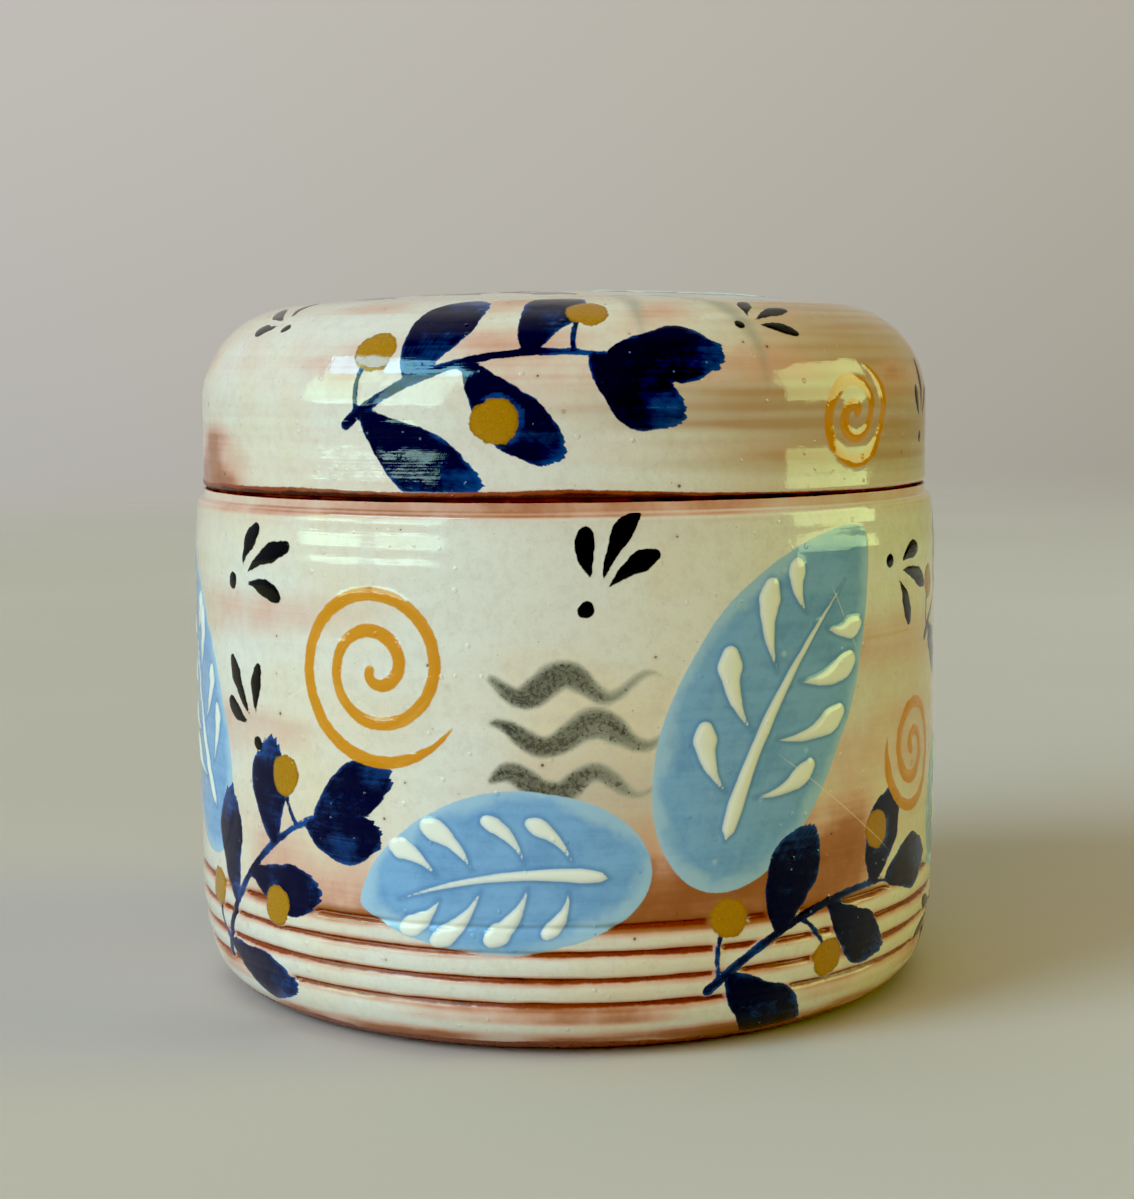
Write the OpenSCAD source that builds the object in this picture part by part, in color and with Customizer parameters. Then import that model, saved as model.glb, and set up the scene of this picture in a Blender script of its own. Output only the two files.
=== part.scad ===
// Thrown earthenware biscuit jar: a straight-sided pot with a turned heel, and a domed cap lid
// that drops over the pot's collar and rests on a flat seat. Both pieces are turned about Z.

/* [Pot] */
// Outside diameter of the pot wall
pot_d = 150; // [130:1:180]
// Height of the seat that the lid rests on
seat_h = 99.3; // [85:0.1:130]
// Thickness of the pot wall
pot_wall = 5.5; // [4:0.25:7.5]
// Thickness of the floor at its middle
floor_t = 6.5; // [4:0.25:9]
// Radius of the inside corner between floor and wall
floor_corner_r = 12; // [8:0.5:20]
// Radius that softens the outside of the seat
rim_r = 3.2; // [1.5:0.1:3.4]

/* [Heel and foot] */
// How far the edge of the foot stands in from the wall
foot_inset = 12.8; // [12:0.1:16]
// Radius of the heel where it turns under
heel_r = 11.3; // [8:0.1:11.8]
// Height at which the heel starts to draw in from the wall
heel_h = 22; // [17:0.5:28]
// Width of the ring that the pot stands on
foot_w = 8; // [5:0.5:14]
// Depth of the hollow turned out under the floor
foot_recess = 3; // [2.5:0.25:4.5]
// Radius in the corner of that hollow
recess_r = 2.4; // [1.2:0.1:2.4]

/* [Heel rings] */
// Number of rings cut round the heel
ring_n = 4; // [2:1:5]
// Height of the top ring
ring_top = 24.8; // [24:0.1:40]
// Distance from one ring to the next
ring_pitch = 4.8; // [3:0.1:5]
// Depth of the tool's cut
ring_depth = 0.9; // [0.3:0.1:1.4]
// Width of the tool's cut
ring_w = 1.5; // [0.8:0.1:2.4]
// How far the bands between the cuts round down towards them
band_fall = 0.45; // [0.1:0.05:0.8]

/* [Collar] */
// How far the collar rises above the seat
collar_h = 9; // [5:0.5:11]
// Thickness of the collar
collar_t = 4.2; // [3:0.1:6]
// Gap all round between the collar and the inside of the lid
collar_gap = 1; // [0.4:0.1:1.8]
// Radius in the corner between the seat and the collar
collar_root_r = 0.7; // [0.3:0.05:0.9]
// Height over which the wall thickens into the collar
throat_h = 16; // [10:0.5:24]

/* [Lid] */
// How far the lid's side stands in from the pot wall
lid_inset = 1.9; // [1:0.1:3]
// Height of the lid, from the seat to the crown
lid_h = 38.7; // [36:0.1:50]
// Thickness of the lid's side
lid_wall = 5; // [4:0.25:6.5]
// How much thicker the middle of the lid's top is than its side
crown_thicken = 1; // [0.2:0.1:1.4]
// Radius of the shoulder between the side and the top
shoulder_r = 19.6; // [12:0.2:21]
// How far the crown rises above a flat top
crown_rise = 2.8; // [1.6:0.1:4]
// Radius under the lid's outside edge
lid_edge_r = 1.4; // [0.8:0.1:1.8]
// Bevel inside the lid's edge, which guides it over the collar
lid_bevel = 1.1; // [0.6:0.1:1.4]

/* [Throwing rings] */
// Depth of the potter's finger marks outside
mark_out = 0.12; // [0.05:0.01:0.25]
// Depth of the finger marks inside
mark_in = 0.5; // [0.1:0.05:0.9]
// Height that the hand climbs in one turn of the wheel
mark_pitch = 7.5; // [5:0.5:12]

/* [Hidden] */
$fn = 144;

arc_step = 7.5;           // degrees between the points of an arc
mark_points = 6;          // points along each throwing ring
ring_points = 16;         // points from one heel ring to the next
throat_points = 12;       // points down the throat, from the collar to the wall
second_mark = 0.618;      // pitch of the fainter, uneven mark, as a part of mark_pitch

pot_r = pot_d / 2;
foot_r = pot_r - foot_inset;
floor_z = foot_recess + floor_t;
bore_r = pot_r - pot_wall;

lid_r = pot_r - lid_inset;
lid_bore_r = lid_r - lid_wall;
collar_r = lid_bore_r - collar_gap;
mouth_r = collar_r - collar_t;
lip_r = collar_t / 2;
top_z = seat_h + lid_h;
shoulder_z = top_z - crown_rise - shoulder_r;

// The heel is two arcs: heel_r where it turns under, then a slow arc that is tangent to it and
// to the upright wall.
heel_draw = foot_inset - heel_r;
heel_rise = heel_h - heel_r;
blend_r = heel_r + (pow(heel_rise, 2) + pow(heel_draw, 2)) / (2 * heel_draw);
blend_angle = 2 * atan(heel_draw / heel_rise);
ring_low = ring_top - (ring_n - 1) * ring_pitch;
ring_zone_top = ring_top + ring_pitch / 2;
ring_zone_low = ring_low - ring_pitch / 2;

// Points of an arc about [x, y], from angle a to angle b
function arc(x, y, r, a, b) =
    let (n = max(2, ceil(abs(b - a) / arc_step)))
    [for (i = [0 : n]) let (t = a + (b - a) * i / n) [x + r * cos(t), y + r * sin(t)]];

// Depth of the throwing marks at a distance s along the clay, from 0 to 1
function mark(s) =
    (2 + sin(360 * s / mark_pitch) + sin(360 * s / (mark_pitch * second_mark))) / 4;

// Ease from 0 to 1 with a level start and end
function ease(t) = (1 - cos(180 * t)) / 2;

// Half the chord of a circle of radius r, at a distance d from its centre
function half_chord(r, d) = sqrt(max(0, r * r - d * d));

// Radius of the smooth heel and wall at height z
function smooth_r(z) =
    z >= heel_h ? pot_r
    : z >= heel_r - heel_r * sin(blend_angle) ? pot_r - blend_r + half_chord(blend_r, heel_h - z)
    : foot_r + half_chord(heel_r, heel_r - z);

// Depth of the turned rings at height z: a rounded cut, and bands that fall towards it
function ring_cut(z) =
    let (d = abs((z - ring_low) / ring_pitch - round((z - ring_low) / ring_pitch)) * ring_pitch)
    z > ring_zone_top || z < ring_zone_low ? 0
    : band_fall * (1 - sin(180 * d / ring_pitch))
      + (d < ring_w / 2 ? ring_depth * (1 + cos(360 * d / ring_w)) / 2 : 0);

// Outside of the pot, upwards from the lowest band to the rounded seat edge
function pot_side() =
    let (wall_top = seat_h - rim_r,
         ring_steps = ring_n * ring_points,
         mark_steps = ceil((wall_top - ring_zone_top) / mark_pitch * mark_points))
    concat(
        [for (i = [0 : ring_steps])
            let (z = ring_zone_low + (ring_zone_top - ring_zone_low) * i / ring_steps)
            [smooth_r(z) - ring_cut(z), z]],
        [for (i = [1 : mark_steps - 1])
            let (t = i / mark_steps, z = ring_zone_top + (wall_top - ring_zone_top) * t)
            [pot_r - mark_out * mark(z) * sin(180 * t), z]]);

// Underside and heel, from the axis out to the lowest band
function pot_foot() =
    let (turn = asin(max(0, heel_r - ring_zone_low) / heel_r))
    concat(
        [[0, foot_recess]],
        arc(foot_r - foot_w - recess_r, foot_recess - recess_r, recess_r, 90, 0),
        [[foot_r - foot_w, 0]],
        arc(foot_r, heel_r, heel_r, -90, -turn - arc_step));

// Seat and collar, inwards and up from the rounded edge to the lip, then down the throat
function pot_rim() = concat(
    arc(pot_r - rim_r, seat_h - rim_r, rim_r, 0, 90),
    arc(collar_r + collar_root_r, seat_h + collar_root_r, collar_root_r, 270, 180),
    arc(mouth_r + lip_r, seat_h + collar_h - lip_r, lip_r, 0, 180),
    [for (i = [1 : throat_points])
        let (t = i / throat_points)
        [mouth_r + (bore_r - mouth_r) * ease(t), seat_h - throat_h * t]]);

// Inside of the pot, down the wall and in along the floor, with the marks cut into the clay
function pot_bore() =
    let (wall_top = seat_h - throat_h, wall_low = floor_z + floor_corner_r,
         wall_steps = ceil((wall_top - wall_low) / mark_pitch * mark_points),
         floor_r = bore_r - floor_corner_r,
         floor_steps = ceil(floor_r / mark_pitch * mark_points))
    concat(
        [for (i = [1 : wall_steps - 1])
            let (t = i / wall_steps, z = wall_top + (wall_low - wall_top) * t)
            [bore_r + mark_in * mark(z) * sin(180 * t), z]],
        arc(floor_r, wall_low, floor_corner_r, 0, -90),
        [for (i = [1 : floor_steps - 1])
            let (t = i / floor_steps, r = floor_r * (1 - t))
            [r, floor_z - mark_in * mark(r) * sin(180 * t)]],
        [[0, floor_z]]);

// Outside or inside of the lid's shoulder and top, from the side in to the axis: an arc of
// radius r about the shoulder's centre, then a wide crown arc tangent to it that peaks at peak_z
function lid_crown(r, peak_z, marks) =
    let (x = lid_r - shoulder_r, up = peak_z - shoulder_z,
         crown_r = (x * x + up * up - r * r) / (2 * (up - r)),
         tilt = asin(x / (crown_r - r)),
         steps = ceil(x / mark_pitch * mark_points / 2))
    concat(
        arc(x, shoulder_z, r, 0, 90 - tilt),
        [for (i = [1 : steps])
            let (t = i / steps, a = tilt * (1 - t),
                 cut = marks * mark(crown_r * a * PI / 180) * sin(180 * t))
            [(crown_r - cut) * sin(a), peak_z - crown_r + (crown_r - cut) * cos(a)]]);

// Side of the lid between two heights, with the marks cut into it by depth
function lid_side(r, z0, z1, depth) =
    let (steps = ceil(abs(z1 - z0) / mark_pitch * mark_points))
    [for (i = [1 : steps - 1])
        let (t = i / steps, z = z0 + (z1 - z0) * t) [r + depth * mark(z) * sin(180 * t), z]];

module jar_body()
    color("oldlace")
        rotate_extrude()
            polygon(concat(pot_foot(), pot_side(), pot_rim(), pot_bore()));

module lid() {
    outside = concat(
        arc(lid_r - lid_edge_r, seat_h + lid_edge_r, lid_edge_r, -90, 0),
        lid_side(lid_r, seat_h + lid_edge_r, shoulder_z, -mark_out),
        lid_crown(shoulder_r, top_z, mark_out));
    inside = concat(
        [[lid_bore_r + lid_bevel, seat_h], [lid_bore_r, seat_h + lid_bevel]],
        lid_side(lid_bore_r, seat_h + collar_h, shoulder_z, mark_in / 2),
        lid_crown(shoulder_r - lid_wall, top_z - lid_wall - crown_thicken, 0));
    color("antiquewhite")
        rotate_extrude()
            polygon(concat(outside, [for (i = [len(inside) - 1 : -1 : 0]) inside[i]]));
}

jar_body();
lid();
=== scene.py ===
"""A thrown and painted biscuit jar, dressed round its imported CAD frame.

Blender works in metres. The pottery's own sizes are named below in millimetres, and each mesh is
turned to metres as it is made. On a turned surface "u" is the distance round it from the front,
towards +X, and "v" is the distance up it along the clay. "g" is its grid of vertices.
"""

import math

import bpy
import numpy as np
from mathutils import Euler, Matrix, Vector


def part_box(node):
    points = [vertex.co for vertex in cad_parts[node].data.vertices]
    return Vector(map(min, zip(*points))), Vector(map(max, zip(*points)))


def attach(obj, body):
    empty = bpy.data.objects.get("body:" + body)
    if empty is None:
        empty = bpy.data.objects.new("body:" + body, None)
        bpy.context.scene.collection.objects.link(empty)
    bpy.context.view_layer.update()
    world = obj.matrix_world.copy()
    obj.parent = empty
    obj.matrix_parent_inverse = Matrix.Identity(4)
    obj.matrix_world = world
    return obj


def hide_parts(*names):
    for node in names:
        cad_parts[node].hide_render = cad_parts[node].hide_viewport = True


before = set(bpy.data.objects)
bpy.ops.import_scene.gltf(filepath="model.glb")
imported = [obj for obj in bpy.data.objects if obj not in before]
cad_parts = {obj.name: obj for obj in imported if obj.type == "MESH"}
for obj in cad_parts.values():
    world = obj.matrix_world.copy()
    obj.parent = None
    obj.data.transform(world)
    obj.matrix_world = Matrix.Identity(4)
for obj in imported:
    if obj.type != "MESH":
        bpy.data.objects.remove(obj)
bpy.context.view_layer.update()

MM = 0.001
TURN = 2 * math.pi

# ---- sizes, millimetres

POT_HIGH = np.array(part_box("jar_body")[1]) / MM
LID_LOW = np.array(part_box("lid")[0]) / MM
LID_HIGH = np.array(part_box("lid")[1]) / MM
POT_R, LIP_Z = POT_HIGH[0], POT_HIGH[2]
SEAT_Z, TOP_Z = LID_LOW[2], LID_HIGH[2]

SKIN = 0.3  # how far the dressed surface lies inside the CAD one, so that the paint has room
SEAT_SKIN = 0.02  # the same on the flat seat

POT_WALL = 5.5
FLOOR_Z = 9.5
FLOOR_CORNER_R = 12
RIM_R = 3.2
FOOT_R = POT_R - 12.8
FOOT_W = 8
RECESS = 3
RECESS_R = 2.4
HEEL_R = 11.3
HEEL_H = 22
RING_TOP = 24.8
RING_PITCH = 4.8
RING_N = 4
RING_LOW = RING_TOP - (RING_N - 1) * RING_PITCH
RING_DEPTH = 0.7
BAND_FALL = 0.5
LEAN_IN, LEAN_FROM_Z = 0.95, 88  # how far the top of the wall leans in, and from what height
COLLAR_T = 4.2
COLLAR_GAP = 1
COLLAR_ROOT_R = 0.7
THROAT_H = 16

LID_R = POT_R - 1.9
LID_WALL = 5
SHOULDER_R = 19.6
CROWN_RISE = 2.8
CROWN_THICKEN = 1
LID_EDGE_R = 1.4
LID_BEVEL = 1.1
WAIST = 0.42  # how far the lid's side draws in half way up

MARK_PITCH, SECOND_MARK = 7.5, 0.618  # the finger marks' pitch, and the fainter one's share of it
MARK_OUT, MARK_IN, LID_MARK_IN = 0.1, 0.45, 0.3  # how deep they are
SPOKES = 768  # vertices round each turned surface
THETA = np.arange(SPOKES) * TURN / SPOKES
SAME_POINT = 1e-4  # points of an outline that are nearer than this are one
TINY = 1e-6  # a length that is safe to divide by
CLOUD_WAVES = 28  # how many waves make up a mottling
FAR = -9.0  # how far inside a stroke or the bare clay a vertex is, where it is well away from it
ALL_CLAY = 3.0  # the same, where the clay is bare all over
RESTS_WITHIN = 0.05  # height above the floor or the seat within which a surface stays where it is
BESIDE_STROKE = 2  # how far round a stroke its field is worked out
BRISTLE_SHIFT = 31.7  # so that no two strokes show the same bristle marks


# ---- outlines


def arc(x, z, r, a, b, step):
    """Points about step apart along an arc from angle a to angle b, in degrees."""
    count = max(2, math.ceil(abs(math.radians(b - a)) * r / step))
    t = np.radians(np.linspace(a, b, count + 1))
    return np.stack([x + r * np.cos(t), z + r * np.sin(t)], 1)


def traced(*runs):
    """One outline: each run is an arc's points, or a line's x, z to go to and its points' spacing."""
    points = np.empty((0, 2))
    for run in runs:
        if isinstance(run, tuple):
            end, step = np.array(run[:2], float), run[2]
            start = points[-1] if len(points) else end
            count = max(1, math.ceil(math.dist(start, end) / step))
            run = start + (end - start) * np.linspace(0, 1, count + 1)[:, None]
        points = np.concatenate([points, run])
    apart = np.linalg.norm(np.diff(points, axis=0), axis=1) > SAME_POINT
    return points[np.r_[True, apart]]


def outward(points):
    """The unit normal at each point of an outline, to the right of its direction of travel."""
    step = np.diff(points, axis=0)
    step /= np.linalg.norm(step, axis=1)[:, None]
    along = np.concatenate([step[:1], step[:-1] + step[1:], step[-1:]])
    along /= np.linalg.norm(along, axis=1)[:, None]
    return np.stack([along[:, 1], -along[:, 0]], 1)


def distance_along(points):
    """How far along the outline each of its points lies."""
    return np.r_[0, np.cumsum(np.linalg.norm(np.diff(points, axis=0), axis=1))]


def row_near(points, x, z):
    """The index of the outline's point that is nearest to a place."""
    return int(np.argmin(np.hypot(points[:, 0] - x, points[:, 1] - z)))


def pot_outline():
    """The pot's section from the middle of its underside, up its outside and down its inside."""
    draw, rise = POT_R - FOOT_R - HEEL_R, HEEL_H - HEEL_R
    blend_r = HEEL_R + (rise * rise + draw * draw) / (2 * draw)
    blend = math.degrees(2 * math.atan(draw / rise))
    inner_foot = FOOT_R - FOOT_W
    bore = POT_R - POT_WALL
    collar = LID_R - LID_WALL - COLLAR_GAP
    mouth = collar - COLLAR_T
    lip = COLLAR_T / 2
    down = np.linspace(0, 1, 15)
    ease = (1 - np.cos(down * math.pi)) / 2
    throat = np.stack([mouth + (bore - mouth) * ease, SEAT_Z - THROAT_H * down], 1)
    return traced(
        (0, RECESS, 1),
        (inner_foot - RECESS_R, RECESS, 2.5),
        arc(inner_foot - RECESS_R, RECESS - RECESS_R, RECESS_R, 90, 0, 0.5),
        (inner_foot, 0, 1),
        (FOOT_R, 0, 0.8),
        arc(FOOT_R, HEEL_R, HEEL_R, -90, -blend, 0.28),
        arc(POT_R - blend_r, HEEL_H, blend_r, -blend, 0, 0.25),
        (POT_R, RING_TOP + RING_PITCH / 2, 0.25),
        (POT_R, SEAT_Z - RIM_R, 0.5),
        arc(POT_R - RIM_R, SEAT_Z - RIM_R, RIM_R, 0, 90, 0.4),
        (collar + COLLAR_ROOT_R, SEAT_Z, 0.8),
        arc(collar + COLLAR_ROOT_R, SEAT_Z + COLLAR_ROOT_R, COLLAR_ROOT_R, 270, 180, 0.3),
        (collar, LIP_Z - lip, 1),
        arc(mouth + lip, LIP_Z - lip, lip, 0, 180, 0.5),
        (mouth, SEAT_Z, 1.2),
        throat,
        (bore, FLOOR_Z + FLOOR_CORNER_R, 1.2),
        arc(bore - FLOOR_CORNER_R, FLOOR_Z + FLOOR_CORNER_R, FLOOR_CORNER_R, 0, -90, 1.2),
        (0, FLOOR_Z, 1.4),
    )


def crown(r, peak_z, step):
    """The lid's shoulder and top, from its side in to the axis: two arcs that run smoothly on."""
    x, z = LID_R - SHOULDER_R, TOP_Z - CROWN_RISE - SHOULDER_R
    up = peak_z - z
    crown_r = (x * x + up * up - r * r) / (2 * (up - r))
    tilt = math.degrees(math.asin(x / (crown_r - r)))
    return traced(
        arc(x, z, r, 0, 90 - tilt, step),
        arc(0, peak_z - crown_r, crown_r, 90 - tilt, 90, step * 1.15),
    )


def lid_outline():
    """The lid's section from inside the middle of its top, down its inside and up its outside."""
    bore = LID_R - LID_WALL
    return traced(
        crown(SHOULDER_R - LID_WALL, TOP_Z - LID_WALL - CROWN_THICKEN, 1.3)[::-1],
        (bore, SEAT_Z + LID_BEVEL, 1.2),
        (bore + LID_BEVEL, SEAT_Z, 0.4),
        (LID_R - LID_EDGE_R, SEAT_Z, 0.5),
        arc(LID_R - LID_EDGE_R, SEAT_Z + LID_EDGE_R, LID_EDGE_R, -90, 0, 0.3),
        (LID_R, TOP_Z - CROWN_RISE - SHOULDER_R, 0.48),
        crown(SHOULDER_R, TOP_Z, 0.52),
    )


# ---- unevenness of the hand


def smooth(x, low, high):
    """0 at low, 1 at high, with an S curve between; low may be the larger."""
    t = np.clip((np.asarray(x, float) - low) / (high - low), 0, 1)
    return t * t * (3 - 2 * t)


def bump(x, low, high, soft):
    """1 between low and high, easing to 0 over soft on each side."""
    return smooth(x, low - soft, low) * smooth(x, high + soft, high)


def blob(u, v, at, size):
    """1 at a place, easing to 0 at an ellipse of the given half-width and half-height."""
    return smooth(np.hypot((u - at[0]) / size[0], (v - at[1]) / size[1]), 1, 0.15)


def wave(seed, low, high):
    """A smooth uneven line round the jar, from -1 to 1, of low to high waves a turn."""
    rng = np.random.default_rng(seed)
    k = np.arange(low, high + 1)[:, None]
    size = rng.normal(size=k.shape) / np.sqrt(k)
    line_round = (size * np.cos(k * THETA + rng.uniform(0, TURN, k.shape))).sum(0)
    return line_round / np.abs(line_round).max()


def cloud(seed, v, around, along):
    """Smooth mottling of about -1 to 1: up to around waves a turn, and along or more mm high."""
    rng = np.random.default_rng(seed)
    total = np.zeros((len(v), SPOKES))
    for _ in range(CLOUD_WAVES):
        k = rng.integers(1, around + 1)
        q = rng.uniform(-1, 1) * TURN / along
        total += np.cos(k * THETA + q * v + rng.uniform(0, TURN))
    return total / math.sqrt(CLOUD_WAVES)


def throwing_mark(v):
    """Depth, 0 to 1, of the spiral that fingers leave as they climb the turning clay."""
    first = np.sin(TURN * v / MARK_PITCH + THETA)
    second = np.sin(TURN * v / (MARK_PITCH * SECOND_MARK) + 2 * THETA + 0.8)
    return (2 + first + second) / 4


def hand_wobble(z):
    """How far out of true round the hand left the clay, in millimetres; below 0 is inwards."""
    out_of_round = 0.09 * np.cos(2 * THETA + 0.9 + z / 90) + 0.05 * np.cos(3 * THETA - 1.4 + z / 60)
    return out_of_round - 0.12


def turned_lines(seed, v):
    """The fine ridges that a wet sponge or rib draws round the turning clay."""
    return 0.011 * cloud(seed, v, 3, 2.1) + 0.014 * cloud(seed + 1, v, 4, 4.5)


# ---- paint


class Canvas:
    """A painted surface: where each vertex lies, and how deep inside each colour it is, in mm."""

    COLOURS = ("run", "grey", "blue", "navy", "gold", "orange", "white", "black")

    def __init__(self, u, v, girth=None):
        self.u, self.v = np.broadcast_arrays(u, v)
        self.girth = girth
        self.field = {name: np.full(self.u.shape, FAR) for name in self.COLOURS}
        self.brush = np.zeros(self.u.shape + (3,))
        self.strokes = 0

    def offset(self, at):
        """How far each vertex is from a point, round the jar the short way."""
        du = self.u - at[0]
        if self.girth:
            du = (du + self.girth / 2) % self.girth - self.girth / 2
        return du, self.v - at[1]

    def stroke(self, colour, path, half):
        """Lays a stroke along a path of points, with a half-width at each."""
        path, half = np.asarray(path, float), np.asarray(half, float)
        middle = path.mean(0)
        du, dv = self.offset(middle)
        path = path - middle
        reach = np.abs(path).max(0) + half.max() + BESIDE_STROKE
        near = (np.abs(du) < reach[0]) & (np.abs(dv) < reach[1])
        if not near.any():
            return
        p = np.stack([du[near], dv[near]], 1)
        inside, along, across = np.full(len(p), FAR), np.zeros(len(p)), np.zeros(len(p))
        done = 0
        for a, b, wa, wb in zip(path[:-1], path[1:], half[:-1], half[1:]):
            step = b - a
            length = max(np.hypot(*step), TINY)
            rel = p - a
            t = np.clip(rel @ step / length**2, 0, 1)
            depth = wa + (wb - wa) * t - np.hypot(*(rel - t[:, None] * step).T)
            side = (rel[:, 0] * step[1] - rel[:, 1] * step[0]) / length
            better = depth > inside
            inside = np.where(better, depth, inside)
            along = np.where(better, done + t * length, along)
            across = np.where(better, side, across)
            done += length
        self.strokes += 1
        field = self.field[colour]
        order = (inside > field[near]) & (inside > -1)
        field[near] = np.maximum(field[near], inside)
        if colour != "run":
            top = near.copy()
            top[near] = order
            shift = self.strokes * BRISTLE_SHIFT
            marks = np.stack([along + shift, across, along / max(done, TINY)], 1)
            self.brush[top] = marks[order]


class Pen:
    """Draws one motif on a canvas, in the motif's own millimetres."""

    def __init__(self, canvas, u, v, turn=0, flip=False):
        self.canvas, self.u, self.v, self.flip = canvas, u, v, flip
        self.cos, self.sin = math.cos(math.radians(turn)), math.sin(math.radians(turn))

    def placed(self, points):
        """Where the motif's points lie on the canvas."""
        x, y = np.asarray(points, float).T
        x = -x if self.flip else x
        u, v = self.u + self.cos * x - self.sin * y, self.v + self.sin * x + self.cos * y
        return np.stack([u, v], 1)

    def stroke(self, colour, path, half):
        """Lays a stroke along a path given in the motif's millimetres."""
        self.canvas.stroke(colour, self.placed(path), half)

    def pressed_leaf(self, base, tip, width, sag, seed):
        """One pressed brush mark in navy: the brush lands on its point, is pressed and lifted."""
        half = shaky(swell(30, 0.62, 0.5, 0.62, width), seed, 0.05)
        self.canvas.stroke("navy", bend(*self.placed([base, tip]), sag, len(half)), half)

    def dab(self, colour, at, radius, seed):
        """A spot of paint that is nearly round."""
        rng = np.random.default_rng(seed)
        points = [self.placed([at])[0] + rng.uniform(-0.2, 0.2, 2) * radius for _ in range(4)]
        self.canvas.stroke(colour, points, radius * rng.uniform(0.8, 0.92, 4))


def bend(start, end, sag, count=22):
    """A curve from start to end that bows to its left by sag."""
    start, end = np.array(start, float), np.array(end, float)
    t = np.linspace(0, 1, count)[:, None]
    step = end - start
    left = np.array([-step[1], step[0]]) / max(np.hypot(*step), TINY)
    return start + step * t + left * sag * 4 * t * (1 - t)


def swell(count, rise, fall, belly, width):
    """Half-widths of a stroke that is widest at belly; a low rise or fall makes that end blunter."""
    t = np.linspace(0, 1, count)
    before = np.clip(t / belly, 0, 1) ** rise
    after = np.clip((1 - t) / (1 - belly), 0, 1) ** fall
    return width / 2 * before * after


def shaky(half, seed, share=0.08):
    """Half-widths with the small swelling and thinning of a loaded brush."""
    rng = np.random.default_rng(seed)
    t = np.linspace(0, 1, len(half))
    waver = sum(np.sin(TURN * k * t + rng.uniform(0, TURN)) / k for k in (2, 3, 5, 8))
    return half * (1 + share * waver)


def leaf_half(t, width):
    """Half the width of a broad leaf at a share t of its length, rounder at its foot."""
    foot, tip = 0.6, 0.92
    widest = foot / (foot + tip)
    peak = widest**foot * (1 - widest) ** tip
    return width / 2 * t**foot * (1 - t) ** tip / peak


def broad_leaf(pen, length, width, seed):
    """A broad light-blue leaf with a raised cream midrib and paired cream veins."""
    t = np.linspace(0.002, 0.998, 44)
    spine = bend((-length / 2, 0), (length / 2, 0), length * 0.06, len(t))
    pen.stroke("blue", spine, shaky(leaf_half(t, width), seed, 0.02))
    rib = bend((-length * 0.43, -0.2), (length * 0.34, 0.3), length * 0.05, 24)
    pen.stroke("white", rib, shaky(swell(24, 0.25, 0.9, 0.12, width * 0.085), seed + 1, 0.1))
    pairs = 4 if width > 26 else 3
    rng = np.random.default_rng(seed)
    for i in range(pairs):
        share = 0.17 + 0.56 * i / (pairs - 0.6)
        root = np.array([(share - 0.5) * length, length * 0.05 * math.sin(math.pi * share)])
        room = leaf_half(share + 0.05, width)
        for side in (1, -1):
            lean, out, fat = rng.uniform(0.4, 0.78), rng.uniform(0.68, 0.82), rng.uniform(0.1, 0.14)
            start = root + (rng.uniform(0.6, 2.6), side * width * rng.uniform(0.06, 0.1))
            end = root + (1.6 + room * lean, side * room * out)
            half = shaky(swell(16, 1.1, 0.35, 0.8, width * fat), seed + 7 * i + side, 0.1)
            pen.stroke("white", bend(start, end, side * room * 0.09, len(half)), half)


def scroll(pen, radius, turns, seed):
    """An orange spiral, drawn from its middle out to a short tail."""
    t = np.linspace(0, 1, 90)
    angle = TURN * turns * t
    r = shaky(radius * (0.07 + 0.93 * t**0.92), seed + 1, 0.03)
    half = shaky(np.full(len(t), 1.15), seed, 0.16) * smooth(t, 1.02, 0.95) * smooth(t, -0.06, 0.02)
    pen.stroke("orange", np.stack([r * np.cos(angle), r * np.sin(angle)], 1), half)


def sprig(pen, size, leaves, seed):
    """A bough of navy leaves set by turns on each side of a bowed stem, with gold berries."""
    rng = np.random.default_rng(seed)
    stem = bend((-22 * size, 0), (22 * size, 0), 5 * size, 60)
    last = len(stem) - 1
    pen.stroke("navy", stem, shaky(np.linspace(0.85, 0.5, len(stem)) * size, seed + 60, 0.12))
    for i in range(leaves):
        share = (i + 0.35) / leaves
        root = stem[int(share * last)]
        side = 1 if i % 2 else -1
        lean = math.radians(side * rng.uniform(36, 56))
        long = size * rng.uniform(17, 21) * (1.05 - 0.3 * share)
        tip = root + long * np.array([math.cos(lean), math.sin(lean)])
        pen.pressed_leaf(root, tip, size * rng.uniform(8.6, 10.6), side * size * 1.3, seed + i)
    pen.pressed_leaf(stem[-6], stem[-1] + (13 * size, -2 * size), size * 9.4, 0.6, seed + 40)
    for share, out in ((0.14, 7.6), (0.52, -9.2), (0.9, 8.8)):
        root = stem[max(0, int(share * last) - 5)]
        berry = stem[int(share * last)] + (0, out * size)
        half = shaky(np.full(12, 0.42 * size), seed + 61, 0.1)
        pen.stroke("navy", bend(root, berry, size, len(half)), half)
        pen.dab("gold", berry, 3.4 * size, seed + 3)


def ripples(pen, width, lines, seed):
    """Lines of water in a thin grey wash, each fuller in the middle."""
    t = np.linspace(0, 1, 44)
    for i in range(lines):
        long = width * (1 - 0.14 * abs(i - (lines - 1) / 2))
        x = (t - 0.5) * long + (i % 2) * 2.6
        y = 2.1 * np.sin(TURN * t * 2.1 + i * 1.1) + (i - (lines - 1) / 2) * 8.6
        half = shaky(swell(len(t), 0.45, 0.9, 0.36 + 0.12 * (i % 2), 5.8), seed + i, 0.18)
        pen.stroke("grey", np.stack([x, y], 1), half)


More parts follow.
